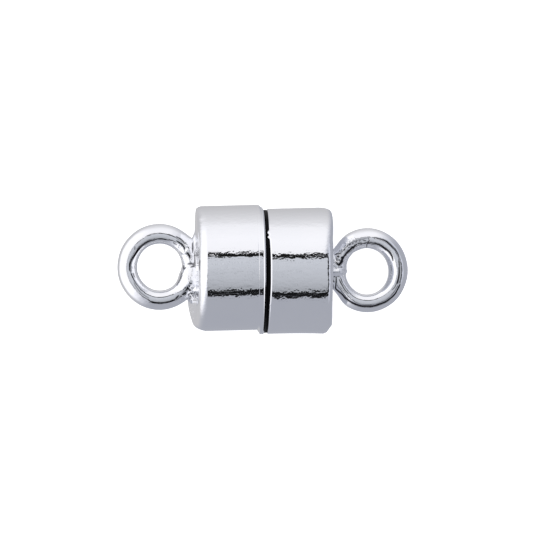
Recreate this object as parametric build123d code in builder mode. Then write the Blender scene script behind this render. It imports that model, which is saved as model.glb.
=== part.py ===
"""Barrel magnetic clasp for a bracelet or necklace, snapped shut and lying on its barrel.

Two plated metal cups face each other, each with a disc magnet glued inside and a closed wire ring
soldered to its end. All sizes are in millimetres. +X runs along the barrel from the left half to the
right half, +Z is up, and the origin is the middle of the bounding box at the surface the clasp lies on.
"""

import os

from build123d import *

# Barrel
barrel_diameter = 6.0
left_cup_length = 3.26
right_cup_length = 3.06
rim_gap = 0.2
axis_offset = 0.21
end_rounding = 0.45
rim_rounding = 0.07

# Lip round the mouth of the left cup, which lines up with the right half
lip_width = 0.36
shoulder_rounding = 0.2

# Inside of a cup
wall = 0.45
end_thickness = 0.6

# Disc magnets
glue_gap = 0.03
face_gap = 0.04
magnet_rounding = 0.12

# Soldered wire rings
ring_hole_diameter = 2.2
ring_wire_diameter = 0.94
ring_sink = 0.34
ring_drop = 0.05
left_ring_shift = 0.13
right_ring_shift = -0.09

# Solder mounds between a ring and its cup, in sections from the root to the tip. "out" is the
# distance from the end face as a share of what stands out of the wire there. "radius" and
# "shift", which is sideways from the cup's axis, are shares of the barrel's radius.
left_solder = [
    {"out": 0.0, "radius": 0.77, "shift": -0.14},
    {"out": 0.6, "radius": 0.45, "shift": -0.015},
    {"out": 0.96, "radius": 0.23, "shift": 0.015},
]
right_solder = [
    {"out": 0.0, "radius": 0.33, "shift": -0.015},
    {"out": 0.35, "radius": 0.28, "shift": -0.015},
    {"out": 0.65, "radius": 0.2, "shift": 0.0},
]
solder_root = 0.1

# What follows from these sizes
barrel_radius = barrel_diameter / 2
bore_radius = barrel_radius - wall
magnet_radius = bore_radius - glue_gap
magnet_proud = (rim_gap - face_gap) / 2
wire_radius = ring_wire_diameter / 2
ring_radius = ring_hole_diameter / 2 + wire_radius
ring_span = 2 * (ring_radius + wire_radius) - ring_sink
ring_reach = ring_span - ring_radius - wire_radius
wire_out = ring_wire_diameter - ring_sink

axis_height = barrel_radius
ring_height = axis_height - ring_drop
left_axis_y = axis_offset / 2
right_axis_y = -axis_offset / 2

overall_length = 2 * ring_span + left_cup_length + rim_gap + right_cup_length
left_end_x = -overall_length / 2 + ring_span
left_rim_x = left_end_x + left_cup_length
right_rim_x = left_rim_x + rim_gap
right_end_x = right_rim_x + right_cup_length


def cross_section(x, axis_y):
    """Plane square to the barrel at x, with its centre on a half's own axis."""
    return Plane(origin=(x, axis_y, axis_height), x_dir=(0, 1, 0), z_dir=(1, 0, 0))


def drum(start_x, end_x, axis_y, radius):
    """Add a round drum between two places along the barrel."""
    with BuildSketch(cross_section(start_x, axis_y)) as disc:
        Circle(radius)
    extrude(disc.sketch, amount=end_x - start_x)


def round_rim(part, x, radius, rounding):
    """Round the circular edge of the given radius that lies at x."""
    at_x = part.edges().filter_by(GeomType.CIRCLE).filter_by_position(Axis.X, x - 0.001, x + 0.001)
    fillet(at_x.filter_by(lambda edge: abs(edge.radius - radius) < 0.001), rounding)


def pocket(floor_x, mouth_x, axis_y):
    """Cut the hollow that holds a magnet, from its floor out through the cup's mouth."""
    with BuildSketch(cross_section(floor_x, axis_y)) as disc:
        Circle(bore_radius)
    extrude(disc.sketch, amount=mouth_x - floor_x, mode=Mode.SUBTRACT)


def wire_ring(ring_x, ring_y):
    """Add a closed ring of round wire that lies level."""
    centre = (ring_x, ring_y, ring_height)
    with BuildSketch(Plane(origin=centre, x_dir=(1, 0, 0), z_dir=(0, -1, 0))) as wire:
        with Locations((ring_radius, 0)):
            Circle(wire_radius)
    revolve(wire.sketch, axis=Axis(centre, (0, 0, 1)))


def solder(sections, end_x, outward, axis_y):
    """Add a solder mound through its sections, the first of them carried on into the end."""
    places = [(-solder_root, sections[0])]
    places += [(section["out"] * wire_out, section) for section in sections]
    rounds = []
    for out, section in places:
        shift = section["shift"] * barrel_radius
        with BuildSketch(cross_section(end_x + outward * out, axis_y + shift)) as outline:
            Circle(section["radius"] * barrel_radius)
        rounds.append(outline.sketch)
    loft(rounds, ruled=True)


# Left cup, with its lip, solder and ring
with BuildPart() as left_cup:
    drum(left_end_x, left_rim_x - lip_width, left_axis_y, barrel_radius)
    round_rim(left_cup, left_end_x, barrel_radius, end_rounding)
    round_rim(left_cup, left_rim_x - lip_width, barrel_radius, shoulder_rounding)
    drum(left_rim_x - lip_width, left_rim_x, right_axis_y, barrel_radius)
    round_rim(left_cup, left_rim_x, barrel_radius, rim_rounding)
    pocket(left_end_x + end_thickness, left_rim_x, left_axis_y)
    solder(left_solder, left_end_x, -1, left_axis_y)
    wire_ring(left_end_x - ring_reach, left_axis_y + left_ring_shift)

# Right cup, with its solder and ring
with BuildPart() as right_cup:
    drum(right_rim_x, right_end_x, right_axis_y, barrel_radius)
    round_rim(right_cup, right_end_x, barrel_radius, end_rounding)
    round_rim(right_cup, right_rim_x, barrel_radius, rim_rounding)
    pocket(right_end_x - end_thickness, right_rim_x, right_axis_y)
    solder(right_solder, right_end_x, 1, right_axis_y)
    wire_ring(right_end_x + ring_reach, right_axis_y + right_ring_shift)

# Disc magnet in the left cup
with BuildPart() as left_magnet:
    drum(left_end_x + end_thickness + glue_gap, left_rim_x + magnet_proud, left_axis_y, magnet_radius)
    fillet(left_magnet.edges().filter_by(GeomType.CIRCLE), magnet_rounding)

# Disc magnet in the right cup
with BuildPart() as right_magnet:
    drum(right_rim_x - magnet_proud, right_end_x - end_thickness - glue_gap, right_axis_y, magnet_radius)
    fillet(right_magnet.edges().filter_by(GeomType.CIRCLE), magnet_rounding)

left_cup.part.label = "left_cup"
right_cup.part.label = "right_cup"
left_magnet.part.label = "left_magnet"
right_magnet.part.label = "right_magnet"

os.makedirs("parts", exist_ok=True)
export_step(left_cup.part, "parts/left_cup.step")
export_step(right_cup.part, "parts/right_cup.step")
export_step(left_magnet.part, "parts/left_magnet.step")
export_step(right_magnet.part, "parts/right_magnet.step")
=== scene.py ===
# %% [markdown]
# # A barrel magnetic clasp
# The clasp joins the two ends of a bracelet or necklace. It is two polished, silver-plated cups that
# meet mouth to mouth. Each has a disc magnet glued inside and a ring of wire soldered to its closed
# end. Here it lies on its barrel, snapped shut, and the camera looks down on it.
#
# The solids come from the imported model, which is in metres. The numbers in these cells are in
# millimetres, because the whole clasp is only 14 mm long, and they are scaled once, where a mesh is made.

import math

import bpy
import numpy as np
from mathutils import Matrix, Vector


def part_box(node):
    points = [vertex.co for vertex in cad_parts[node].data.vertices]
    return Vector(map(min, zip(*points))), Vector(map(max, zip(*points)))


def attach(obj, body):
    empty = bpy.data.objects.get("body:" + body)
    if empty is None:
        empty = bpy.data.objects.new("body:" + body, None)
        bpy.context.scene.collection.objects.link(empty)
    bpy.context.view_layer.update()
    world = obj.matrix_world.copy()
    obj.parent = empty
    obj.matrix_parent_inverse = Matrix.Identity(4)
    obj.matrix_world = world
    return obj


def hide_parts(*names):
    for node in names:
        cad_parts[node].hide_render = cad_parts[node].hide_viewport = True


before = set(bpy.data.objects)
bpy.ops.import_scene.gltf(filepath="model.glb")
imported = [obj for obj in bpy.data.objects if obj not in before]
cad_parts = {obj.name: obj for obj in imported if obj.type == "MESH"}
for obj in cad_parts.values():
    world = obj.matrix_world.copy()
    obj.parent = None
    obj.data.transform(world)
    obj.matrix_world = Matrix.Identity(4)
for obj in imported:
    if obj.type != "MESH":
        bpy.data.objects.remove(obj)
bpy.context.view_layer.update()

# %% [markdown]
# ## Where everything is
# A finished piece has to lie exactly where its solid lies, so the main places are read from the
# solids' own boxes. The right half is one straight drum, which gives the radius and its axis. The two
# halves have slid a little sideways on each other, as they do when the magnets snap, so the left half
# has an axis of its own. The finished rims lie a hair behind the solid ones, which leaves room for the
# near-black films of painted shade in the seam. The radius of the pockets, the bore, doesn't show in a
# box, so it is given.

# %% Read the places
left_high = 1000 * np.array(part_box("left_cup")[1])
right_low, right_high = (1000 * np.array(corner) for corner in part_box("right_cup"))
radius = right_high[2] / 2
axis_z = radius
right_y = (right_low[1] + right_high[1]) / 2
left_y = left_high[1] - radius
room_for_seam_films = 0.02
left_rim, right_rim = left_high[0] - room_for_seam_films, right_low[0] + room_for_seam_films
bore = 2.55
print(f"barrel radius {radius:.2f}, axes at y {left_y:.3f} and {right_y:.3f}")
print(f"rims at x {left_rim:.2f} and {right_rim:.2f}")

# %% [markdown]
# ## One way to turn a grid into a mesh
# Every piece is a closed surface: rows of points that run round the piece, and each row joined to the
# next. A ring's last row joins its first row. A cup's first and last rows shrink to a single point
# instead, like the poles of a globe. Whole arrays of indices are made at once, which is much quicker
# than a loop over the points. The volume shows whether the faces point outwards: it comes out
# negative when they point in, and then every face is turned round.

# %% Grid to mesh
def enclosed_volume(points, faces):
    """Add up the pyramids from the origin to every triangle of the faces; outward faces give a plus."""
    corners = [points[faces[:, i]] for i in range(faces.shape[1])]
    return sum(
        np.einsum("ij,ij->", corners[0], np.cross(corners[i], corners[i + 1])) / 6
        for i in range(1, len(corners) - 1)
    )


def make_piece(name, grid, poles, body, stands_for):
    """Join each row of the grid to the next one, and each point of a row to the next point round."""
    columns = grid.shape[1]
    body_rows = grid[1:-1] if poles else grid
    points = body_rows.reshape(-1, 3)
    index = np.arange(len(points)).reshape(-1, columns)
    after = index[1:] if poles else np.roll(index, -1, axis=0)
    before = index[:-1] if poles else index
    quads = np.stack([before, np.roll(before, -1, 1), np.roll(after, -1, 1), after], -1).reshape(-1, 4)
    fans = np.zeros((0, 3), int)
    if poles:
        first = np.full(columns, len(points))
        points = np.vstack([points, grid[0, 0], grid[-1, 0]])
        start = np.stack([first, np.roll(index[0], -1), index[0]], -1)
        end = np.stack([first + 1, index[-1], np.roll(index[-1], -1)], -1)
        fans = np.vstack([start, end])
    volume = enclosed_volume(points, quads) + enclosed_volume(points, fans)
    if volume < 0:
        quads, fans = quads[:, ::-1], fans[:, ::-1]
    mesh = bpy.data.meshes.new(name)
    mesh.from_pydata((points / 1000).tolist(), [], quads.tolist() + fans.tolist())
    mesh.shade_smooth()
    mesh.set_sharp_from_angle(angle=math.radians(50))
    piece = bpy.data.objects.new(name, mesh)
    bpy.context.scene.collection.objects.link(piece)
    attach(piece, body)
    if stands_for:
        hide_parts(stands_for)
    triangles = 2 * len(quads) + len(fans)
    print(f"{name}: {len(points)} points, {triangles} triangles, {abs(volume):.1f} cubic mm")
    return piece


def keep_values(piece, name, values, poles):
    """Store a number or a vector for each point of the grid, for the material to read by its name."""
    vector = values.ndim == 3
    if poles:
        middle = values[1:-1].reshape(-1, *values.shape[2:])
        values = np.concatenate([middle, values[:1, 0], values[-1:, 0]])
    stored = piece.data.attributes.new(name, "FLOAT_VECTOR" if vector else "FLOAT", "POINT")
    stored.data.foreach_set("vector" if vector else "value", values.astype(np.float32).ravel())

# %% [markdown]
# ## Bumps that no tool made
# Solder freezes in soft lumps, and hand-soldered wire is never quite even. Such unevenness is a sum of
# a few waves that cross each other in random directions. The seed fixes the directions, so the lumps
# are the same each time that the script runs.

# %% Lumps
def lumps(points, wavelength, seed, waves=14):
    """Average of sine waves with random directions and starts, each about one wavelength long."""
    random = np.random.default_rng(seed)
    directions = random.normal(size=(waves, 3))
    directions /= np.linalg.norm(directions, axis=1, keepdims=True)
    lengths = wavelength * random.uniform(0.7, 1.4, waves)
    starts = random.uniform(0, 2 * np.pi, waves)
    phases = points @ (2 * np.pi * directions / lengths[:, None]).T + starts
    return np.sin(phases).sum(-1) / math.sqrt(waves / 2)


def fade(value, low, high):
    """Go from 0 at low to 1 at high along a smooth S."""
    share = np.clip((value - low) / (high - low), 0, 1)
    return share * share * (3 - 2 * share)

# %% [markdown]
# ## A cup
# A cup like this is pressed from sheet brass and plated, so it is a shape of revolution: one profile,
# turned round the barrel's axis. The profile starts in the middle of the closed end, goes out over
# the rounded edge, along the barrel to the mouth, and back inside to the bottom of the pocket. A
# mirror finish shows each dent in its reflections, so the rows lie close together where the profile
# bends, and far apart where it is straight.
#
# What isn't plain and round about the real cups, such as the worn lip, the slanting ends and the
# solder, comes later, as arrays that are added to the turned shape.

# %% The profile of a cup
def line(start, end, count):
    """Evenly spaced places (depth from the mouth, distance from the axis), without the last one."""
    return np.linspace(start, end, count, endpoint=False)


def arc(middle, size, start, end, count, fullness=2.0):
    """A turn round a middle: cosine and sine, whose powers fill the corner if fullness is over 2."""
    angle = np.radians(np.linspace(start, end, count, endpoint=False))
    waves = np.stack([np.cos(angle), np.sin(angle)], -1)
    return np.array(middle) + np.array(size) * np.sign(waves) * np.abs(waves) ** (2 / fullness)


def corner(start, end, last, count, fullness):
    """The outside corner from one place to another: the arc stops at the last angle, short of level."""
    waves = np.array([math.cos(math.radians(last)), math.sin(math.radians(last))]) ** (2 / fullness)
    size = (start[0] - end[0]) / (1 - waves[0]), (end[1] - start[1]) / waves[1]
    return arc((start[0] - size[0], start[1]), size, 0, last, count, fullness)


rim_slope, rim_drop, rim_edge = 0.06, 0.022, 0.015
close_rows, burr_end = 0.62, 0.1
pocket_bottom, pocket_rounding = 0.6, 0.05


def cup_profile(length, edge_shape):
    """The places along a cup's profile: closed end, its edge, the barrel, the mouth and the pocket."""
    edge = radius - edge_shape["drop"]
    start = length - edge_shape["rounding"]
    floor_depth = length - pocket_bottom
    parts = [
        line((length, 0), (length, edge - 0.04), 86),
        line((length, edge - 0.04), (length, edge), 3),
        corner((length, edge), (start, radius), edge_shape["last"], 40, edge_shape["fullness"]),
        line((start, radius), (start - 0.02, radius), 2),
        line((start - 0.02, radius), (close_rows, radius), 9),
        line((close_rows, radius), (burr_end, radius), 32),
        line((burr_end, radius), (rim_slope, radius), 4),
        line((rim_slope, radius), (rim_edge, radius - rim_drop), 5),
        arc((rim_edge, radius - rim_drop - rim_edge), rim_edge, 90, 180, 5),
        line((0, radius - rim_drop - rim_edge), (0, bore + pocket_rounding), 4),
        arc((pocket_rounding, bore + pocket_rounding), pocket_rounding, 180, 270, 5),
        line((pocket_rounding, bore), (floor_depth - 0.05, bore), 4),
        line((floor_depth - 0.05, bore), (floor_depth, bore), 2),
        line((floor_depth, bore), (floor_depth, 0), 4),
        [(floor_depth, 0)],
    ]
    outside_rows = sum(len(part) for part in parts[:10])
    return np.vstack(parts), outside_rows


left_edge = {"rounding": 0.485, "drop": 0.46, "fullness": 2.8, "last": 67}
right_edge = {"rounding": 0.625, "drop": 0.42, "fullness": 3.2, "last": 80}
left_end, right_end = -3.26, 3.22
left_length, right_length = left_rim - left_end, right_end - right_rim
left_profile, outside_rows = cup_profile(left_length, left_edge)
right_profile, _ = cup_profile(right_length, right_edge)
print(f"cups {left_length:.2f} and {right_length:.2f} long")
print(f"{len(left_profile)} rows for a cup, {outside_rows} of them outside")

# %% [markdown]
# ## Turn the profile
# The grid has one row for each place of the profile and one column for each degree round the axis.
# Neither cup was cut to length quite square: the mouths slant by about a degree, and the closed ends by
# up to two. So x also changes with how far a point lies to the side, times a slant that differs from
# place to place along the cup.

# %% Turned grid
around = np.radians(np.arange(360))
outward_y, outward_z = np.cos(around), np.sin(around)


def turned(profile, mouth, side, axis_y, slant=0.0):
    """Carry the profile round the axis: x is the mouth plus the depth, y and z go round in a circle."""
    depth, distance = profile[:, :1], profile[:, 1:]
    x = mouth + side * depth + slant * distance * outward_y
    y = axis_y + distance * outward_y
    z = axis_z + distance * outward_z
    return np.stack([x, y, z], -1)


def slants(profile, at_mouth, at_end):
    """Slant of each place of a cup's profile: it changes evenly from the mouth to the closed end."""
    return at_mouth + (at_end - at_mouth) * profile[:, :1] / profile[0, 0]


left_mouth_slant, right_mouth_slant = 0.016, 0.0228
left_slants = slants(left_profile, left_mouth_slant, 0.0248)
right_slants = slants(right_profile, right_mouth_slant, 0.0378)
end_slants = [round(math.degrees(slant[0, 0]), 1) for slant in (left_slants, right_slants)]
print("closed ends slant by", end_slants, "degrees")

# %% [markdown]
# ## What hands and tools did to the left cup
# Its mouth has a narrow lip. Polishing has worn the lip down on one side, and on the other side it
# stands out a little, so that it lines up with the other half. A fine score marks where the lip ends,
# and cutting left a burr, a fine ridge, round the mouth. The top of the closed end was dressed back
# with a file.
#
# The solder on the closed end has spread into a skirt, thick in the middle and thin towards its edge.
# It reaches far down on one side, and it is lumpy where the wire goes into it. Each of these marks is a
# small function that says how far the surface moves there, and the plain turned shape stays plain.

# %% Lip, burr and file
lip = 0.36
lip_shift = left_y - right_y


def worn_lip(depth, towards_y):
    """How far the lip's outside moves in or out: worn in on the +Y side, and out on the other side."""
    worn = 0.8 * lip_shift * (1 - fade(depth, 0.0, 0.26)) * np.clip(towards_y, 0, 1) ** 5
    proud = lip_shift * (1 - fade(depth, lip - 0.18, lip - 0.02)) * np.clip(-towards_y, 0, 1) ** 22
    score = np.interp(depth, [lip - 0.06, lip - 0.03, lip], [0, 0.008, 0])
    return proud - worn - score


def burr(depth):
    """The fine ridge that cutting left round the mouth: up to its top and down again."""
    return np.interp(depth, [rim_edge, rim_slope, burr_end], [0, 0.018, 0])


def dressed_back(profile, most):
    """How far the closed end was filed back: most on top, fading down its sides and along the cup."""
    depth, length = profile[:, :1], profile[0, 0]
    return most * fade(outward_z, 0.55, 0.95) * fade(depth, length - 0.45, length - 0.05)

# %% The skirt of solder
skirt_y, skirt_height = left_y - 0.6, 0.42


def skirt(y, z):
    """Solder height over the closed end: flat in the middle, then falling ever faster to nothing."""
    above = 0.5 + 1.1 * fade(-y, 0.9, 1.5)
    rise = np.where(z > axis_z, above, 1.7)
    width = np.where(y < skirt_y, 2.35, 2.5)
    away = np.hypot((y - skirt_y) / width, (z - axis_z) / rise)
    return skirt_height * np.clip(1 - away**2.7, 0, 1)


def with_lumps(height, grid, roughness, seed):
    """The solder's height made uneven: big and small lumps near the wire, and none far on the -Y side."""
    uneven = lumps(grid, 0.45, seed) + 0.4 * lumps(grid, 0.2, seed + 1)
    return height * (1 + roughness * uneven * fade(grid[..., 1], -1.35, -0.95))

# %% [markdown]
# ## Painted dark lines and shade
# Solder flows with the help of flux. The dark lines along the rings are painted dark reflections: they
# follow the wire where the polished metal mirrors the studio's black card. In the corner where the wire
# meets the cup the darkening is painted shade, and a few short marks on the solder are specks of dark
# flux. The mesh keeps all of it as one number for each point, 0 for clean silver and 1 for dark, which
# the plating's material reads later.
#
# A line is drawn as it shows from above, through a few places in millimetres. A smooth curve joins
# the places, and the number fades with the distance from the curve.

# %% Painted dark lines
view_lean = 0.048


def seen_x(grid):
    """Where points show along the barrel: the view from above leans, so x moves with the height."""
    return grid[..., 0] + view_lean * (grid[..., 2] - axis_z)


def curve_through(places, steps=5):
    """A smooth curve through places: in each piece it sets off along the line between its neighbours."""
    places = np.array([places[0], *places, places[-1]])
    share = np.linspace(0, 1, steps, endpoint=False)[:, None]
    pieces = []
    for before, start, end, after in zip(places, places[1:], places[2:], places[3:]):
        bend = 2 * before - 5 * start + 4 * end - after
        turn = 3 * start - before - 3 * end + after
        pieces.append(start + ((end - before) * share + bend * share**2 + turn * share**3) / 2)
    return np.vstack([*pieces, places[-1:]])


# Dark lines drawn into the colour: painted dark reflections of the black card, painted shade near the
# wire's roots, and a few specks of flux.
def painted_dark_lines_on(grid, lines):
    """1 on curves that are seen from above, in mm, and 0 beside them and underneath.

    Each line is its width in the middle, its strength and its places, and it tapers towards both ends.
    """
    x, y = seen_x(grid), grid[..., 1]
    darkness = 0 * x
    for width, strength, places in lines:
        curve = curve_through(places)
        pieces = len(curve) - 1
        off = 99 + 0 * x
        for piece, ((start_x, start_y), (end_x, end_y)) in enumerate(zip(curve[:-1], curve[1:])):
            run_x, run_y = end_x - start_x, end_y - start_y
            share = ((x - start_x) * run_x + (y - start_y) * run_y) / (run_x**2 + run_y**2)
            share = np.clip(share, 0, 1)
            width_here = width * (0.45 + 0.6 * np.sin(np.pi * (piece + share) / pieces) ** 0.6)
            away = np.hypot(x - start_x - share * run_x, y - start_y - share * run_y)
            off = np.minimum(off, away / width_here)
        darkness = darkness + strength * np.exp(-(off**2))
    return np.clip(darkness, 0, 1) * (grid[..., 2] > axis_z - 0.2)


def painted_shade_round_wire(grid, ring_at, ring_radius, wire_radius, seed):
    """Painted shade, up to 0.8, where the ring's wire comes within 0.04 mm of the surface, in patches, and
    0 elsewhere.
    """
    off = grid - np.array(ring_at)
    gap = np.hypot(np.hypot(off[..., 0], off[..., 1]) - ring_radius, off[..., 2]) - wire_radius
    return 0.8 * (1 - fade(gap, 0.005, 0.04)) * fade(lumps(grid, 0.5, seed), -0.7, 0.3)

# %% [markdown]
# ## The left cup
# Now the cup is put together. The corner of its closed end is tighter on one side, so two profiles with
# different corners are turned, and blended round the axis. Then the marks move the outside of the grid
# in and out, and the solder moves its closed end. The inside stays as it was turned.

# %% Make the left cup
left_ring_at = (-4.99, left_y + 0.13, axis_z - 0.05)
# Short dark lines on the left cup's closed end, near the ring's root: painted shade, with a few specks of
# flux.
left_painted_dark_lines = [
    (0.04, 1.0, [(-3.36, 1.37), (-3.37, 0.89)]),
    (0.05, 1.2, [(-3.28, 0.76), (-3.27, 0.75)]),
    (0.045, 0.85, [(-3.07, 1.12), (-3.09, 0.75)]),
    (0.045, 0.8, [(-3.0, 0.5), (-3.04, 0.3), (-3.05, 0.04)]),
    (0.05, 1.4, [(-3.25, -0.17), (-3.24, -0.19)]),
    (0.04, 0.9, [(-3.34, -1.03), (-3.35, -1.13)]),
]
depth = left_profile[:, :1]
outside = (np.arange(len(left_profile)) < outside_rows)[:, None]
tight_profile, _ = cup_profile(left_length, {**left_edge, "rounding": 0.28, "drop": 0.22})
tight = fade(outward_y, 0.75, 0.97)[:, None]
left_grid = (1 - tight) * turned(left_profile, left_rim, -1, left_y, left_slants)
left_grid += tight * turned(tight_profile, left_rim, -1, left_y, left_slants)
moved = outside * (worn_lip(depth, outward_y) + burr(depth) * fade(outward_z, -0.6, -0.3))
left_grid[..., 1] += moved * outward_y
left_grid[..., 2] += moved * outward_z
left_grid[..., 0] += outside * dressed_back(left_profile, 0.07)
end_part = outside * fade(depth, left_length - 0.5, left_length)
solder = with_lumps(skirt(left_grid[..., 1], left_grid[..., 2]), left_grid, 0.05, 3)
left_grid[..., 0] -= end_part * solder
left_shell = make_piece("left_shell", left_grid, True, "left_half", "left_cup")
keep_values(left_shell, "solder", end_part * fade(solder, 0.03, 0.2), True)
# Painted shade in the corner where the left ring meets its cup, together with the painted dark lines; the
# print counts the darkened points.
grime = painted_shade_round_wire(left_grid, left_ring_at, ring_radius=1.57, wire_radius=0.5, seed=31)
grime = outside * np.maximum(grime, painted_dark_lines_on(left_grid, left_painted_dark_lines))
keep_values(left_shell, "grime", grime, True)
print(f"solder up to {(end_part * solder).max():.2f} mm high, {(grime > 0.5).sum()} points dark with flux")

# %% [markdown]
# ## What hands and tools did to the right cup
# It is plainer, with only a little solder round the wire, but it is less true. It isn't perfectly
# round, which moves its reflections a little. It flares on one side towards its closed end, where a
# small flat was filed on the corner, and its mouth stands forward at its sides. A few chips of plating
# stick up from the rim.

# %% Oval, flare, flat, chips and solder
out_of_round, oval_at, flare = 0.014, math.radians(35), 0.16
flat_facing, flat_at = (0.825, -0.565), 4.175
chips = [(52, 2.0, 0.09), (57, 1.4, 0.1), (123, 0.8, 0.045)]
mouth_forward = 0.015 + 0.05 * fade(np.abs(outward_y), 0.15, 0.75)
collar_y, collar_reach, collar_height = right_y + 0.05, 0.9, 0.2


def out_of_true(profile):
    """How far the side moves out: a wave that goes twice round it, and a flare on the -Y side."""
    share = profile[:, :1] / right_length
    wave = np.cos(2 * (around - oval_at)) - math.cos(2 * oval_at)
    return out_of_round * profile[:, 1:] * wave + flare * share**3 * np.clip(-outward_y, 0, 1) ** 3


def beyond_flat(grid):
    """How far points stand out beyond the plane of the filed flat, or 0 where they lie behind it."""
    return np.clip(seen_x(grid) * flat_facing[0] + grid[..., 1] * flat_facing[1] - flat_at, 0, None)


def chipped(depth):
    """How far chips stand forward of the rim: a bell curve round the place, width and height of each."""
    degrees = np.degrees(around)
    raised = sum(height * np.exp(-(((degrees - place) / width) ** 2)) for place, width, height in chips)
    return raised * (1 - fade(depth, 0.0, 0.1))


def collar(y, z):
    """Solder height round the right ring's root: a small soft hill."""
    away = np.hypot(y - collar_y, z - axis_z) / collar_reach
    return collar_height * (1 - fade(away, 0.3, 1.0))

# %% [markdown]
# ## The right cup
# It is put together in the same way. Its corner is sharper on one side, so two profiles are blended
# again. The flat is cut like a real one: what stands out beyond its plane is pushed back onto it.

# %% Make the right cup
right_ring_at = (4.97, right_y - 0.09, axis_z - 0.05)
depth = right_profile[:, :1]
sharp_profile, _ = cup_profile(right_length, {**right_edge, "rounding": 0.06, "drop": 0.05})
sharp = (0.2 * fade(-outward_y, 0.0, 0.25) + 0.8 * fade(-outward_y, 0.7, 0.93))[:, None]
right_grid = (1 - sharp) * turned(right_profile, right_rim, 1, right_y, right_slants)
right_grid += sharp * turned(sharp_profile, right_rim, 1, right_y, right_slants)
right_grid[..., 0] -= mouth_forward * (1 - fade(depth, 0.0, 0.5))
moved = outside * out_of_true(right_profile)
right_grid[..., 1] += moved * outward_y
right_grid[..., 2] += moved * outward_z
right_grid[..., 0] -= outside * dressed_back(right_profile, 0.045)
end_part = outside * fade(depth, right_length - 0.5, right_length)
solder = with_lumps(collar(right_grid[..., 1], right_grid[..., 2]), right_grid, 0.25, 8)
right_grid[..., 0] += end_part * solder
cut = outside * beyond_flat(right_grid)
right_grid[..., 0] -= cut * flat_facing[0]
right_grid[..., 1] -= cut * flat_facing[1]
right_grid[..., 0] -= outside * chipped(depth)
right_shell = make_piece("right_shell", right_grid, True, "right_half", "right_cup")
keep_values(right_shell, "solder", end_part * fade(solder, 0.03, 0.15), True)
# Painted shade in the corner where the right ring meets its cup.
grime = outside * painted_shade_round_wire(right_grid, right_ring_at, ring_radius=1.53, wire_radius=0.45, seed=32)
keep_values(right_shell, "grime", grime, True)
print(f"the filed flat is up to {cut.max():.2f} mm deep")

# %% [markdown]
# ## A wire ring
# A ring is a round wire bent into a closed loop, so it is a circle carried along a circle. What makes
# it real is where it differs from that. The ring is a little oval, and the wire is thicker on one side
# of it, leans, and has two long shallow flats from the pliers. Where it goes into the solder, lumps
# cover it, and a lump whose height is below 0 is a place that was filed thinner.
#
# Each flat and lump is a smooth hill over two angles: degrees along the ring, from the barrel's
# direction, and degrees round the wire, where 0 is the ring's outside, 90 the top and 180 its inside.

# %% The surface of a wire ring
def turn_between(angle, middle):
    """How far an angle is from the middle, in degrees, the shorter way round."""
    return (np.degrees(angle) - middle + 180) % 360 - 180


def wire_thickness(along, round_wire, wire, lean, flats):
    """The wire's radius: it changes once along the ring, is squeezed aslant, and is less at the flats."""
    thick = wire["radius"] + wire["change"] * np.cos(along - math.radians(wire["thick_at"]))
    squeezed = lean["all_round"] + lean["up"] * np.sin(along) + lean["sides"] * np.sin(along) ** 2
    squeezed = squeezed + lean["west"] * np.clip(-np.cos(along), 0, 1) ** 6
    thick = thick * (1 + squeezed * np.cos(2 * (round_wire - math.radians(45))))
    for flat in flats:
        share = flat["depth"] * np.exp(-((turn_between(along, flat["at"]) / flat["length"]) ** 4))
        hill = np.exp(-((turn_between(round_wire, flat["turn"]) / flat["width"]) ** 2))
        thick = thick * (1 - share * hill)
    return thick


def solder_lumps(along, round_wire, solder):
    """Height and roughness of the solder: bell curves along the ring, powers of a cosine round it."""
    height, rough = 0 * along, 0 * along
    for lump in solder:
        share = np.exp(-((turn_between(along, lump["at"]) / lump["length"]) ** 2))
        side = np.cos(np.radians(turn_between(round_wire, lump["top"]) / 2)) ** lump["power"]
        height = height + lump["height"] * share * side
        rough = rough + lump["rough"] * share * side
    return height, rough


def wire_ring(centre, size, wire, lean, flats, solder, painted_dark_lines):
    """Carry a circle round an oval: the oval's place, plus the thickness times cosine out and sine up.

    It comes with what the material needs: where solder lies, where the painted dark lines lie, and places
    round the wire.
    """
    along = np.radians(np.arange(360))[:, None]
    round_wire = np.radians(np.arange(120) * 3)[None, :]
    height, rough = solder_lumps(along, round_wire, solder)
    thick = wire_thickness(along, round_wire, wire, lean, flats) + height
    level = 0 * (along + round_wire)
    outward = np.stack([np.cos(along) + level, np.sin(along) + level, level], -1)
    upward = np.array([0, 0, 1])
    across = np.cos(round_wire)[..., None] * outward + np.sin(round_wire)[..., None] * upward
    grid = np.array(centre) + np.array([*size, 0]) * outward + thick[..., None] * across
    push = rough * (lumps(grid, 0.4, 21) + 0.5 * lumps(grid, 0.18, 22)) + 0.003 * lumps(grid, 1.2, 23)
    # Painted dark reflections and painted shade along the wire; they also dent it a little.
    grime = painted_dark_lines_on(grid, painted_dark_lines)
    push = push - 0.01 * grime
    drawn = [np.cos(round_wire) + level, np.sin(round_wire) + level, 0.25 * np.cos(along) + level]
    marks = {"drawn": np.stack(drawn, -1), "solder": np.clip(rough / 0.012, 0, 1), "grime": grime}
    return grid + push[..., None] * across, marks
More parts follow.
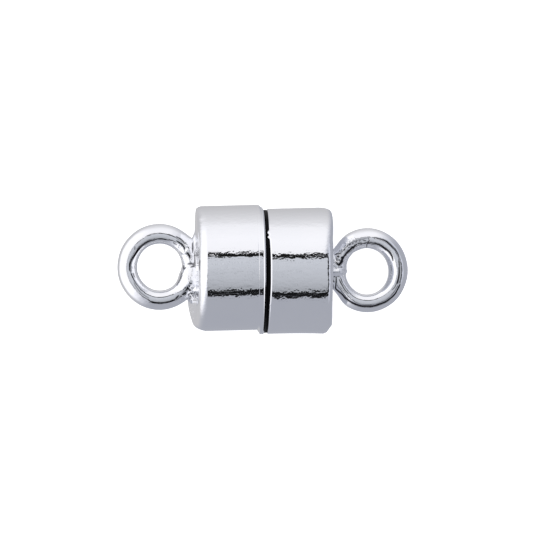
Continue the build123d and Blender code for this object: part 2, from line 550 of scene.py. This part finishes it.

# %% [markdown]
# ## The left ring
# It sits a little above its own cup's axis as the camera sees it, and it went deep into the solder, so
# most of its painted dark lines lie near its root, where they are painted shade and a few specks of
# flux. The long ones follow the wire: they are painted dark reflections.

# %% Make the left ring
left_ring_grid, left_marks = wire_ring(
    centre=left_ring_at,
    size=(1.54, 1.59),
    wire={"radius": 0.47, "change": 0.008, "thick_at": 180},
    lean={"all_round": -0.05, "up": -0.02, "sides": -0.02, "west": 0.06},
    flats=[
        {"at": 115, "length": 75, "turn": 116, "width": 13, "depth": 0.014},
        {"at": -100, "length": 65, "turn": 72, "width": 13, "depth": 0.012},
    ],
    solder=[
        {"at": -22, "top": 60, "length": 18, "height": 0.26, "power": 2, "rough": 0.006},
        {"at": 28, "top": 20, "length": 14, "height": 0.14, "power": 8, "rough": 0.0},
        {"at": 28, "top": 100, "length": 14, "height": 0.0, "power": 2, "rough": 0.01},
        {"at": 2, "top": 75, "length": 4, "height": -0.06, "power": 6, "rough": 0.012},
    ],
    # Painted dark reflections along the wire, and painted shade with a few flux specks near the root.
    painted_dark_lines=[
        (0.03, 3.5, [
            (-5.19, 1.54), (-5.41, 1.49), (-5.62, 1.39), (-5.81, 1.26), (-5.98, 1.1), (-6.11, 0.92),
            (-6.24, 0.73), (-6.35, 0.51), (-6.39, 0.27), (-6.38, 0.08),
        ]),
        (0.025, 0.9, [(-4.27, 1.37), (-4.2, 1.32), (-4.11, 1.26)]),
        (0.03, 3.0, [(-4.13, 1.46), (-3.98, 1.36), (-3.89, 1.29), (-3.78, 1.15), (-3.75, 1.04)]),
        (0.025, 1.0, [(-4.14, 1.65), (-3.9, 1.5), (-3.75, 1.31)]),
        (0.035, 3.0, [(-3.65, 0.88), (-3.55, 0.75), (-3.51, 0.62)]),
        (0.04, 1.0, [(-3.36, 1.37), (-3.37, 0.89)]),
        (0.03, 0.8, [(-3.93, -0.06), (-3.97, -0.25), (-4.02, -0.39), (-4.18, -0.65)]),
        (0.05, 1.0, [(-3.62, 0.34), (-3.43, 0.35), (-3.29, 0.26), (-3.48, 0.19)]),
        (0.035, 0.9, [(-3.83, 0.28), (-3.82, 0.12), (-3.72, 0.19)]),
        (0.03, 1.6, [(-3.76, -0.78), (-3.75, -0.79)]),
        (0.035, 1.4, [(-3.67, -0.72), (-3.57, -0.92), (-3.53, -0.88)]),
        (0.04, 2.0, [(-3.74, -1.0), (-3.91, -1.13)]),
        (0.03, 1.6, [(-4.09, -1.15), (-4.25, -1.34)]),
        (0.03, 0.7, [(-6.13, 1.24), (-6.14, 1.08)]),
        (0.03, 0.6, [(-6.2, -0.43), (-6.16, -0.6), (-5.9, -0.97), (-5.53, -1.24)]),
    ],
)
left_ring = make_piece("left_ring", left_ring_grid, False, "left_half", None)
for mark, values in left_marks.items():
    keep_values(left_ring, mark, values, False)

# %% [markdown]
# ## The right ring
# Its wire is thinner on one side, it is only just joined to its cup, and its outside was filed near the
# root, above and below.

# %% Make the right ring
right_ring_grid, right_marks = wire_ring(
    centre=right_ring_at,
    size=(1.49, 1.565),
    wire={"radius": 0.455, "change": 0.03, "thick_at": 60},
    lean={"all_round": -0.01, "up": 0.01, "sides": -0.05, "west": 0.0},
    flats=[
        {"at": 90, "length": 75, "turn": 115, "width": 13, "depth": 0.014},
        {"at": -80, "length": 90, "turn": 72, "width": 13, "depth": 0.014},
    ],
    solder=[
        {"at": 172, "top": 90, "length": 13, "height": 0.1, "power": 2, "rough": 0.01},
        {"at": 128, "top": 130, "length": 26, "height": 0.0, "power": 6, "rough": 0.011},
        {"at": -179, "top": 100, "length": 5, "height": 0.11, "power": 4, "rough": 0.0},
        {"at": 216, "top": 0, "length": 15, "height": -0.11, "power": 5, "rough": 0.0},
        {"at": 138, "top": 0, "length": 16, "height": -0.07, "power": 5, "rough": 0.0},
    ],
    # Painted dark reflections along the wire, and painted shade with a few flux specks near the root.
    painted_dark_lines=[
        (0.034, 4.0, [
            (3.76, 0.28), (3.85, 0.49), (3.99, 0.67), (4.16, 0.82), (4.34, 0.96), (4.49, 1.07),
        ]),
        (0.045, 4.0, [(3.79, 0.5), (3.76, 0.3), (3.63, 0.13)]),
        (0.04, 1.5, [(3.46, 0.28), (3.53, 0.19), (3.63, 0.13)]),
        (0.04, 2.0, [(3.58, 0.54), (3.58, 0.5)]),
        (0.03, 1.2, [(3.42, 0.61), (3.56, 0.65), (3.73, 0.64)]),
        (0.03, 4.0, [
            (3.47, -0.45), (3.45, -0.83), (3.43, -1.0), (3.53, -1.11), (3.71, -1.27), (3.89, -1.47),
            (4.09, -1.63), (4.35, -1.77), (4.63, -1.87), (4.93, -1.89), (5.22, -1.89), (5.51, -1.81),
            (5.79, -1.71), (6.04, -1.54), (6.26, -1.34), (6.42, -1.09), (6.53, -0.87),
        ]),
        (0.026, 1.0, [
            (6.48, -0.07), (6.49, -0.29), (6.48, -0.5), (6.39, -0.75), (6.28, -1.0), (6.13, -1.15),
        ]),
        (0.03, 1.0, [(3.61, -0.57), (3.69, -0.73), (3.87, -1.08), (4.04, -1.26)]),
        (0.03, 4.0, [
            (5.17, 1.14), (5.47, 1.08), (5.69, 0.98), (5.88, 0.84), (6.06, 0.68), (6.18, 0.47),
            (6.21, 0.25),
        ]),
        (0.025, 2.5, [(5.36, 1.38), (5.65, 1.3), (5.91, 1.19), (6.19, 0.94), (6.42, 0.66), (6.51, 0.4)]),
        (0.026, 1.2, [(6.51, 0.4), (6.52, -0.01), (6.47, -0.47), (6.41, -0.82)]),
        (0.025, 1.0, [(4.97, 0.93), (4.99, 1.09), (5.09, 1.21), (5.08, 1.38)]),
        (0.03, 1.2, [(6.51, -0.12), (6.5, -0.47), (6.41, -0.87)]),
        (0.025, 0.8, [(3.61, 0.64), (3.85, 0.81), (4.08, 1.06), (4.32, 1.2), (4.67, 1.31), (5.08, 1.38)]),
        (0.025, 0.9, [(3.88, 0.87), (3.93, 0.81)]),
        (0.025, 0.9, [(4.14, 1.03), (4.19, 1.12)]),
        (0.025, 0.9, [(4.29, 1.09), (4.33, 1.15)]),
        (0.025, 0.9, [(4.44, 1.18), (4.52, 1.21)]),
        (0.025, 0.9, [(4.61, 1.22), (4.68, 1.26)]),
        (0.025, 0.9, [(4.79, 1.28), (4.93, 1.24)]),
        (0.025, 0.9, [(4.53, 1.1), (4.72, 1.14)]),
    ],
)
right_ring = make_piece("right_ring", right_ring_grid, False, "right_half", None)
for mark, values in right_marks.items():
    keep_values(right_ring, mark, values, False)

# %% [markdown]
# ## The two magnets
# A disc magnet is a plain drum with rounded edges, so it is turned too. Only its rim shows, down in
# the gap between the cups.

# %% Make the magnets
def magnet_grid(node):
    """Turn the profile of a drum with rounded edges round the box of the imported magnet."""
    low, high = (1000 * np.array(corner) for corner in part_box(node))
    across = (high[2] - low[2]) / 2
    thickness, rounding = high[0] - low[0], 0.12
    parts = [
        line((0, 0), (0, across - rounding), 6),
        arc((rounding, across - rounding), rounding, 180, 90, 8),
        line((rounding, across), (thickness - rounding, across), 4),
        arc((thickness - rounding, across - rounding), rounding, 90, 0, 8),
        line((thickness, across - rounding), (thickness, 0), 6),
        [(thickness, 0)],
    ]
    profile = np.vstack(parts)
    return turned(profile, low[0], 1, (low[1] + high[1]) / 2)


left_disc = make_piece(
    "left_disc", magnet_grid("left_magnet"), True, "left_half", "left_magnet"
)
right_disc = make_piece(
    "right_disc", magnet_grid("right_magnet"), True, "right_magnet", "right_magnet"
)

# %% [markdown]
# ## Black films in the seam
# Two near-black films lie on the faces of the two rims. They are painted shade: they make the line
# between the halves black right to the edge, where the narrow gap lies in shadow. Each film is a
# washer: a loop of four rounded corners, turned round the axis. Its back follows its slanting rim. Its
# front is square to the axis, so the two fronts lie 0.02 mm apart however far the halves are turned.

# %% Make the films of painted shade
def washer_grid(back, mouth_slant, front, inner, outer):
    """Turn a loop round the axis: a circle squeezed to a rectangle by taking roots of sine and cosine."""
    loop = np.radians(np.arange(40) * 9)
    squared = [np.sign(wave) * np.abs(wave) ** 0.3 for wave in (np.cos(loop), np.sin(loop))]
    share = (1 + squared[0][:, None]) / 2
    distance = (inner + outer) / 2 + (outer - inner) / 2 * squared[1]
    grid = turned(np.stack([0 * distance, distance], -1), back, 1, right_y, mouth_slant)
    grid[..., 0] = (1 - share) * grid[..., 0] + share * front
    return grid


off_rim, film_inner, film_outer = 0.004, 2.6, 2.95
seam, between_films = left_rim + 0.057, 0.02
left_back, right_back = left_rim + off_rim, right_rim - off_rim - mouth_forward
left_front, right_front = seam - between_films / 2, seam + between_films / 2
left_film = washer_grid(left_back, left_mouth_slant, left_front, film_inner, film_outer)
right_film = washer_grid(right_back, right_mouth_slant, right_front, film_inner, film_outer)
# Near-black films that stand in for the shade in the seam.
left_seam_shade = make_piece("left_seam_shade", left_film, False, "left_half", None)
right_seam_shade = make_piece("right_seam_shade", right_film, False, "right_half", None)

# %% [markdown]
# ## Shader sums as plain Python
# A shader is a web of nodes, and sums are hard to read there. This small class wraps one socket, so
# that an expression such as 1 - mask adds the Math node that it needs. Any other kind of node comes
# from the one method below: its settings first, then the values or links of its sockets.

# %% A socket with operators
class Flow:
    """A value on its way through a shader's nodes."""

    def __init__(self, tree, socket=None):
        self.tree = tree
        self.socket = socket

    def node(self, kind, settings, sockets, output=0):
        """Add a node, set it up, feed its sockets, and return one of its outputs."""
        made = self.tree.nodes.new("ShaderNode" + kind)
        for name, value in settings.items():
            if name == "stops":
                for element in list(made.color_ramp.elements)[1:]:
                    made.color_ramp.elements.remove(element)
                made.color_ramp.elements[0].position = value[0][0]
                made.color_ramp.elements[0].color = (*[value[0][1]] * 3, 1)
                for place, shade in value[1:]:
                    made.color_ramp.elements.new(place).color = (shade, shade, shade, 1)
            else:
                setattr(made, name, value)
        for name, value in sockets.items():
            if isinstance(value, Flow):
                self.tree.links.new(value.socket, made.inputs[name])
            else:
                made.inputs[name].default_value = value
        return Flow(self.tree, made.outputs[output])

    def math(self, operation, *values):
        """Put this value and others through one Math node."""
        return self.node("Math", {"operation": operation}, dict(enumerate((self, *values))))

    def between(self, low, high):
        """Go smoothly from 0 at low to 1 at high."""
        return self.node(
            "MapRange",
            {"interpolation_type": "SMOOTHSTEP"},
            {"Value": self, "From Min": low, "From Max": high},
        )

    def __add__(self, other):
        return self.math("ADD", other)

    def __sub__(self, other):
        return self.math("SUBTRACT", other)

    def __rsub__(self, other):
        return self.node("Math", {"operation": "SUBTRACT"}, {0: other, 1: self})

    def __mul__(self, other):
        return self.math("MULTIPLY", other)

    def __truediv__(self, other):
        return self.math("DIVIDE", other)

    __radd__ = __add__
    __rmul__ = __mul__


def mixed(mask, low, high):
    """The first number or value where the mask is 0, and the second where it is 1."""
    return mask * (high - low) + low


def mixed_colour(mask, low, high):
    """The same for two colours, which need a Mix node, because a Math node turns a colour grey."""
    return mask.node("Mix", {"data_type": "RGBA"}, {0: mask, 6: low, 7: high}, 2)

# %% [markdown]
# ## Bright plating
# The cups and rings are plated and polished like a mirror. A mirror has no look of its own: it shows
# the studio. What makes it real is what breaks the mirror: a faint orange-peel waviness left by
# polishing and a finer ripple, which fray the edges of the reflections, a few hair-fine scratches, and
# a slight haze. All but the haze are heights for a Bump node. The haze changes the roughness.
#
# Three values come from the meshes. Where solder is 1, the plating has creases and pits. Where the
# painted shade and flux value is 1, the colour is nearly black: painted dark reflections, painted shade
# and a few specks of flux. Drawn stays the same along the wire, so noise that reads it makes streaks
# that run along it, like those that drawing leaves. Wire is smoother than a polished cup, so one
# function makes two platings.

# %% A new material to paint on
def new_material(name):
    """Make a node material and give its tree, its shader, and places in millimetres."""
    material = bpy.data.materials.new(name)
    material.use_nodes = True
    flow = Flow(material.node_tree)
    shader = material.node_tree.nodes["Principled BSDF"]
    place = flow.node("TexCoord", {}, {}, "Object")
    place = flow.node("Mapping", {}, {"Vector": place, "Scale": (1000, 1000, 1000)})
    return material, flow, shader, place


def feed(flow, shader, name, value):
    """Link a value to one of the shader's sockets."""
    flow.tree.links.new(value.socket, shader.inputs[name])


def add_relief(flow, shader, relief):
    """Link heights in millimetres to the shader's Normal through a Bump node."""
    bump = flow.node("Bump", {}, {"Strength": 1.0, "Distance": 0.001, "Height": relief}, "Normal")
    feed(flow, shader, "Normal", bump)


def noise(flow, place, scale, detail=2.0, rough=0.5):
    """Soft random patches, from 0 to 1."""
    sockets = {"Vector": place, "Scale": scale, "Detail": detail, "Roughness": rough}
    return flow.node("TexNoise", {}, sockets, "Fac")

# %% Silver plating
def silver(name, peel_height, ripple_height, streak_height):
    """Mirror plating whose waviness has the given heights in millimetres."""
    plating, flow, shader, place = new_material(name)
    aslant = {"Vector": place, "Rotation": (0.3, 0.5, 0.4), "Scale": (0.6, 14, 14)}
    stretched = flow.node("Mapping", {}, aslant)
    scratch = (noise(flow, stretched, 1.0, 1.0) - 0.5).math("ABSOLUTE").math("LESS_THAN", 0.004)
    brushed = flow.node("Mapping", {}, {"Vector": place, "Scale": (0.7, 1.3, 1.0)})
    peel = noise(flow, brushed, 4.2, 0.5)
    ripple = noise(flow, place, 12.0, 0.0)
    haze = noise(flow, place, 0.8, 4.0, 0.6)
    solder = flow.node("Attribute", {"attribute_name": "solder"}, {}, "Fac")
    grime = flow.node("Attribute", {"attribute_name": "grime"}, {}, "Fac")
    drawn = flow.node("Attribute", {"attribute_name": "drawn"}, {}, "Vector")
    streak = noise(flow, drawn, 11.0, 1.0) * noise(flow, place, 1.6, 1.0).between(0.42, 0.62)
    crease = (noise(flow, place, 2.6, 2.0) - 0.5).math("ABSOLUTE").between(0.0, 0.05)
    pits = noise(flow, place, 7.0, 1.0).between(0.6, 0.68)
    relief = peel_height * peel + ripple_height * ripple + streak_height * streak - 0.00035 * scratch
    add_relief(flow, shader, relief + solder * (0.007 * crease - 0.02 * pits))
    feed(flow, shader, "Roughness", mixed(haze.between(0.35, 0.75), 0.01, 0.03))
    clean = mixed_colour(haze, (0.9, 0.905, 0.925, 1), (0.86, 0.87, 0.9, 1))
    # Nearly black where the painted dark reflections, painted shade and flux specks lie.
    feed(flow, shader, "Base Color", mixed_colour(grime, clean, (0.02, 0.02, 0.025, 1)))
    shader.inputs["Metallic"].default_value = 1.0
    print(f"{name}: {len(plating.node_tree.nodes)} nodes")
    return plating


cup_plating = silver("cup_plating", peel_height=0.0065, ripple_height=0.003, streak_height=0.0)
wire_plating = silver("wire_plating", peel_height=0.004, ripple_height=0.001, streak_height=0.004)
for shell, wire in ((left_shell, left_ring), (right_shell, right_ring)):
    shell.data.materials.append(cup_plating)
    wire.data.materials.append(wire_plating)

# %% [markdown]
# ## Magnet coating
# Strong little magnets rust, so they are coated with nickel. Its colour is set almost black, which is
# painted shade: the bright nickel lies down in the shadowed gap. It has a dull shine, and tiny pits
# where the grains of the magnet show through.

# %% Nickel darkened with painted shade
nickel, flow, shader, place = new_material("magnet_nickel_in_painted_shade")
grain = noise(flow, place, 14.0, 3.0, 0.6)
pits = noise(flow, place, 40.0, 1.0).between(0.62, 0.7)
add_relief(flow, shader, 0.004 * grain - 0.006 * pits)
feed(flow, shader, "Roughness", mixed(grain, 0.3, 0.5))
# Near-black base colours: painted shade for the nickel down in the gap; the pits are darker still.
feed(flow, shader, "Base Color", mixed_colour(pits, (0.05, 0.05, 0.055, 1), (0.02, 0.02, 0.02, 1)))
shader.inputs["Metallic"].default_value = 0.8
for piece in (left_disc, right_disc):
    piece.data.materials.append(nickel)
print(f"{nickel.name}: {len(nickel.node_tree.nodes)} nodes")

# %% [markdown]
# ## Black for the seam
# It is near black, with a soft gloss and small bubbles in its relief: painted shade for the narrow gap
# between the halves. It is seen from the side, down in the gap, where even a weak gloss would mirror
# the bright studio, so its gloss is turned far down.

# %% Near black for the seam's shade
epoxy, flow, shader, place = new_material("black_seam_shade")
bubbles = noise(flow, place, 6.0, 2.0)
add_relief(flow, shader, 0.01 * bubbles)
feed(flow, shader, "Roughness", mixed(bubbles, 0.3, 0.6))
# Near-black colour: painted shade for the gap between the halves.
feed(flow, shader, "Base Color", mixed_colour(bubbles, (0.003, 0.003, 0.004, 1), (0.001, 0.001, 0.001, 1)))
shader.inputs["Specular IOR Level"].default_value = 0.05
for piece in (left_seam_shade, right_seam_shade):
    piece.data.materials.append(epoxy)
print(f"{epoxy.name}: {len(epoxy.node_tree.nodes)} nodes")

# %% [markdown]
# ## The floor
# The clasp lies on a pale table that glows a little, as a light table does, so that hardly any shadow
# shows round it. The polished metal doesn't see this plane: it mirrors the studio below the horizon.

# %% Pale floor
floor_mesh = bpy.data.meshes.new("floor")
reach = 2
corners = [(-reach, -reach, 0), (reach, -reach, 0), (reach, reach, 0), (-reach, reach, 0)]
floor_mesh.from_pydata(corners, [], [(0, 1, 2, 3)])
floor = bpy.data.objects.new("floor", floor_mesh)
bpy.context.scene.collection.objects.link(floor)
floor.visible_glossy = False
pale = bpy.data.materials.new("pale_table")
pale.use_nodes = True
pale_shader = pale.node_tree.nodes["Principled BSDF"]
pale_shader.inputs["Base Color"].default_value = (0.9, 0.9, 0.9, 1)
pale_shader.inputs["Roughness"].default_value = 0.9
pale_shader.inputs["Specular IOR Level"].default_value = 0.0
pale_shader.inputs["Emission Color"].default_value = (1, 1, 1, 1)
pale_shader.inputs["Emission Strength"].default_value = 0.75
floor_mesh.materials.append(pale)
print(f"a floor {2 * reach} m wide")

# %% [markdown]
# ## The studio
# Jewellery is photographed in a light tent. A grey card on a larger black one hangs overhead, round
# the lens, and makes the metal look like metal: what is seen of the black card shows as the dark
# lines. The tent is bright on two sides and grey on the other two, and beyond the black card, over the
# right-hand end, hangs one more strip of light. The cards' west ends are cut a little aslant.
#
# All of it is a world background that depends only on the direction. Dividing a direction by its
# height gives its place on a level ceiling, where each card is a plain rectangle. Where the camera
# looks straight at it, it is evenly bright.

# %% Light tent
def lies_in(value, low, high, soft):
    """1 between two limits and 0 outside them, with soft edges."""
    return value.between(low - soft, low + soft) * (1 - value.between(high - soft, high + soft))


world = bpy.data.worlds.new("studio")
bpy.context.scene.world = world
world.use_nodes = True
flow = Flow(world.node_tree)
towards = flow.node("TexCoord", {}, {}, "Generated")
east, north, up = (flow.node("SeparateXYZ", {}, {"Vector": towards}, i) for i in range(3))
height = up.math("MAXIMUM", 0.001)
ceiling_x, ceiling_y = east / height, north / height
overhead = up.between(0.05, 0.1)
southward = ceiling_y.math("MINIMUM", 0.0).math("MAXIMUM", -0.35)


def card_overhead(west_end, east_end, south_end, north_end, aslant):
    """1 on a card on the ceiling and 0 beside it: its limits in x times those in y."""
    from_west = (ceiling_x - aslant * southward).between(west_end - 0.01, west_end + 0.01)
    to_east = 1 - ceiling_x.between(east_end - 0.01, east_end + 0.01)
    return from_west * to_east * lies_in(ceiling_y, south_end, north_end, 0.01) * overhead


black_card = card_overhead(-0.165, 1.05, -1.32, 0.53, 0.36)
card = card_overhead(-0.12, 0.65, -0.85, 0.35, 0.2)
card_light = flow.node(
    "ValToRGB",
    {"stops": [(0.0, 0.41), (0.11, 0.45), (0.43, 0.56), (0.77, 0.64), (1.0, 0.68)]},
    {0: (ceiling_y + 0.85) / 1.2},
)
level = (east * east + north * north + 0.0001).math("SQRT")
bright_side = ((0.574 * north - 0.819 * east) / level).between(-0.4, 0.3)
north_tent = 1.06 * flow.node(
    "ValToRGB",
    {"stops": [(0.02, 0.53), (0.27, 0.66), (0.46, 0.80), (0.56, 0.94), (0.8, 1.0), (0.95, 0.96)]},
    {0: up * 0.5 + 0.5},
)
west_tent = 1.25 * flow.node(
    "ValToRGB",
    {"stops": [(0.0, 0.46), (0.3, 0.48), (0.42, 0.82), (0.6, 1.0), (1.0, 1.0)]},
    {0: up * 0.5 + 0.5},
)
tent_bright = mixed((-1 * east).between(0.1, 0.7), north_tent, west_tent)
end_light = lies_in(ceiling_x, 1.0, 2.2, 0.1) * up.between(0.02, 0.06) * (east / level).between(0.5, 0.7)
tent_light = mixed(end_light, mixed(bright_side, 0.44, tent_bright), 0.7)
light = mixed(card, mixed(black_card, tent_light, 0.01), card_light)
tint = mixed_colour(bright_side, (0.955, 0.985, 1.1, 1), (1.0, 0.995, 1.02, 1))
tint = mixed_colour(card, tint, (0.955, 0.987, 1.06, 1))
seen = flow.node("LightPath", {}, {}, "Is Camera Ray")
background = world.node_tree.nodes["Background"]
feed(flow, background, "Color", tint)
feed(flow, background, "Strength", mixed(seen, light, 1.0))
print(f"studio: {len(world.node_tree.nodes)} nodes")

# %% [markdown]
# ## The camera
# It looks almost straight down. It leans a few degrees towards the left half, which therefore shows a
# little of its closed end, and it is turned a little, so that the barrel rises to the right. It
# stands far off with a long lens, as for a catalogue picture, so the rings don't look larger than
# they are.

# %% Place the camera
lean_angle, roll_angle = math.radians(2.75), math.radians(1.42)
photo_width, pixels_for_a_mm = 533, 20.85
distance, view_width = 200.0, photo_width / pixels_for_a_mm
back = np.array([-math.sin(lean_angle), 0, math.cos(lean_angle)])
level_right = np.array([math.cos(lean_angle), 0, math.sin(lean_angle)])
right = math.cos(roll_angle) * level_right - math.sin(roll_angle) * np.array([0, 1, 0])
upward = np.cross(back, right)
target = np.array([(left_rim + right_rim) / 2, 0, axis_z]) + 0.038 * right + 0.131 * upward
camera = bpy.data.objects.new("camera", bpy.data.cameras.new("camera"))
bpy.context.scene.collection.objects.link(camera)
place_of = np.eye(4)
place_of[:3, :4] = np.stack([right, upward, back, (target + distance * back) / 1000], 1)
camera.matrix_world = Matrix(place_of.tolist())
camera.data.lens = camera.data.sensor_width * distance / view_width
camera.data.clip_start, camera.data.clip_end = 0.01, 20
bpy.context.scene.camera = camera
bpy.context.scene.view_settings.view_transform = "Standard"
print(f"lens {camera.data.lens:.1f} mm, {view_width:.2f} mm wide at the barrel")

# %% [markdown]
# ## Bring the scene up to date
# The view layer is updated, so that the finished pieces stand where they were put.

# %% Update the view layer
bpy.context.view_layer.update()
